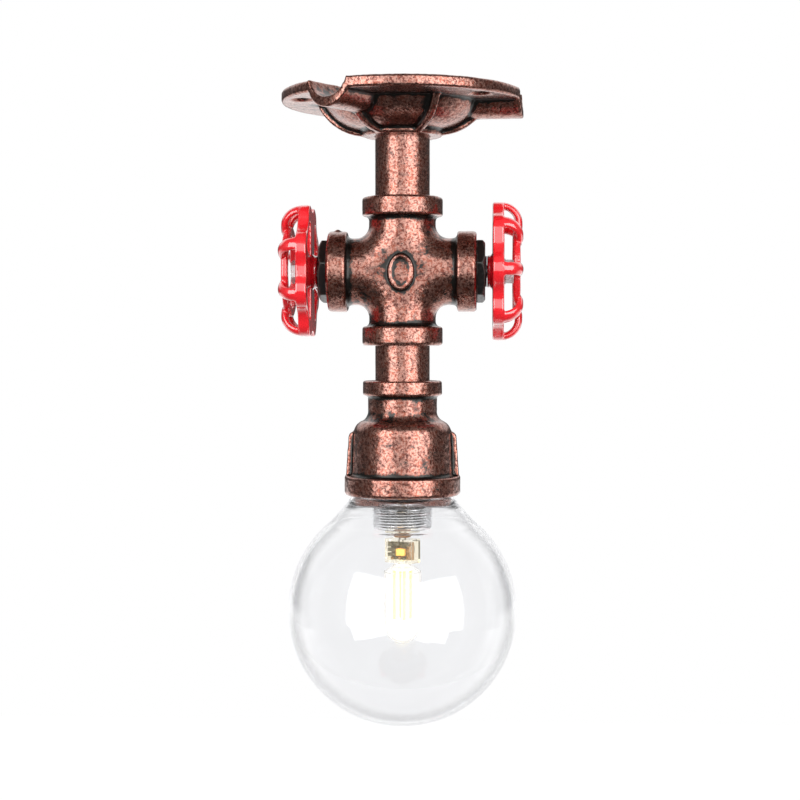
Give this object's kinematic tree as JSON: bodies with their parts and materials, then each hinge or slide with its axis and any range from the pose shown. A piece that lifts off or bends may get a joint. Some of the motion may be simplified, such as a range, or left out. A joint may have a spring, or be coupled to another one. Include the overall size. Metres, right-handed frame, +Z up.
{
  "type": "ceiling light",
  "caption": "Semi-flush ceiling light of cast pipe fittings with finger-ribbed handwheels, a bell-shaped reducing socket and a clear glass globe over a pin-base filament lamp.",
  "frame": {"origin": "centre of the flange's face against the ceiling", "axes": "+Z up into the ceiling, X along the level arms that carry the handwheels, -Y towards the front, where the oval boss is"},
  "size_m": [0.094, 0.094, 0.2473],
  "materials": {
    "copper_paint": "antique copper paint, speckled bright on the high places and near black in the recesses",
    "red_enamel": "glossy",
    "black_paint": "satin",
    "zinc_steel": "satin zinc",
    "nickel": "bright nickel",
    "ceramic": "brown glaze",
    "brass_contact": "plain",
    "nylon": "matt",
    "clear_plastic": "clear moulding",
    "circuit_board": "board with small chips",
    "capsule_glass": "clear",
    "filament": "phosphor",
    "brown_lead": "matt",
    "blue_lead": "matt",
    "clear_glass": "clear",
    "gasket_rubber": "matt"
  },
  "bodies": {
    "root": {"ceiling_flange": "copper_paint", "earth_washer": "zinc_steel", "earth_screw": "zinc_steel", "upper_nipple": "copper_paint", "cross_fitting": "copper_paint", "lower_nipple": "copper_paint", "left_plug": "black_paint", "left_wheel_bolt": "zinc_steel", "left_bolt_washer": "zinc_steel", "left_spacer": "nylon", "left_lock_nut": "zinc_steel", "right_plug": "black_paint", "right_wheel_bolt": "zinc_steel", "right_bolt_washer": "zinc_steel", "right_spacer": "nylon", "right_lock_nut": "zinc_steel", "reducing_socket": "copper_paint", "adapter_plug": "copper_paint", "hollow_stem": "zinc_steel", "stem_washer": "zinc_steel", "stem_nut": "zinc_steel", "sleeve_nut": "zinc_steel", "holder_sleeve": "nickel", "holder_core": "ceramic", "holder_contacts": "brass_contact", "live_wire": "brown_lead", "neutral_wire": "blue_lead", "wire_ferrules": "nickel", "globe_gasket": "gasket_rubber"},
    "left_wheel": {"left_handwheel": "red_enamel"},
    "right_wheel": {"right_handwheel": "red_enamel"},
    "lamp": {"lamp_pins": "nickel", "lamp_base": "clear_plastic", "lamp_circuit": "circuit_board", "lamp_capsule": "capsule_glass", "lamp_filaments": "filament", "lamp_stem": "nickel"},
    "globe": {"globe": "clear_glass"}
  },
  "joints": [
    {"name": "left_wheel_spin", "type": "hinge", "parent": "root", "child": "left_wheel", "pos_m": [-0.038, 0, -0.0694], "axis": [-1, 0, 0], "continuous": true},
    {"name": "right_wheel_spin", "type": "hinge", "parent": "root", "child": "right_wheel", "pos_m": [0.038, 0, -0.0694], "axis": [1, 0, 0], "continuous": true},
    {"name": "globe_drop", "type": "slide", "parent": "root", "child": "globe", "axis": [0, 0, -1], "range_m": [0, 0.065]},
    {"name": "lamp_pull", "type": "slide", "parent": "root", "child": "lamp", "axis": [0, 0, -1], "range_m": [0, 0.012]}
  ]
}
